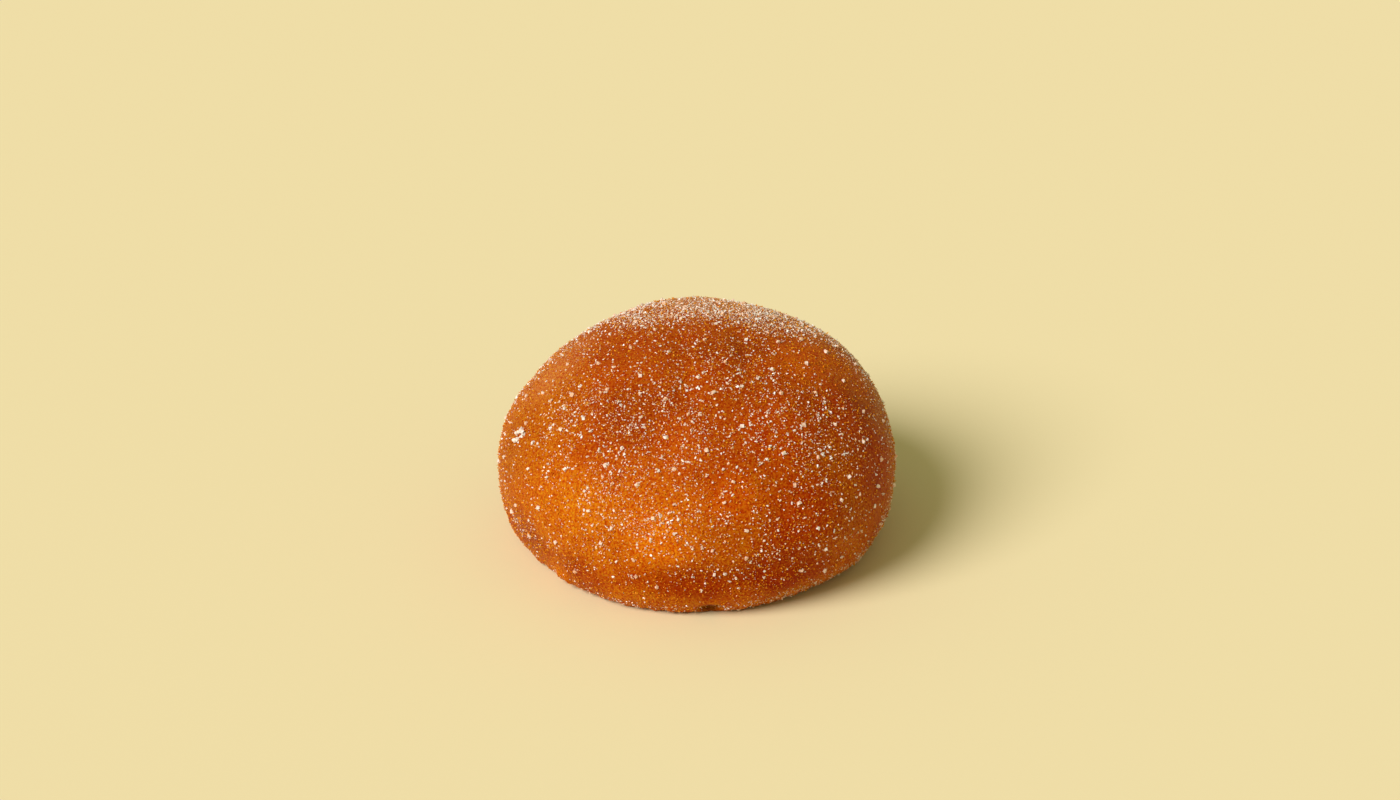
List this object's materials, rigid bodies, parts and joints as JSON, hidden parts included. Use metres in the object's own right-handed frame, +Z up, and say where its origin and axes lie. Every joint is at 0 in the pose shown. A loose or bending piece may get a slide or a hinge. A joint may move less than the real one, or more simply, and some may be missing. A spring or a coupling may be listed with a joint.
{
  "type": "jelly filled doughnut",
  "caption": "Whole round jelly filled doughnut: a domed bun of fried yeast dough with a tucked-in flank and a flat foot, rolled in coarse sugar.",
  "frame": {"origin": "middle of the flat foot that the doughnut rests on", "axes": "+Z up through the crown; -Y is the front, the side that faces the viewer; +X to the viewer's right"},
  "size_m": [0.0853, 0.0846, 0.0493],
  "materials": {
    "fried_crust": "satin",
    "sugar": "satin"
  },
  "bodies": {
    "root": {"doughnut": "fried_crust"}
  },
  "joints": []
}
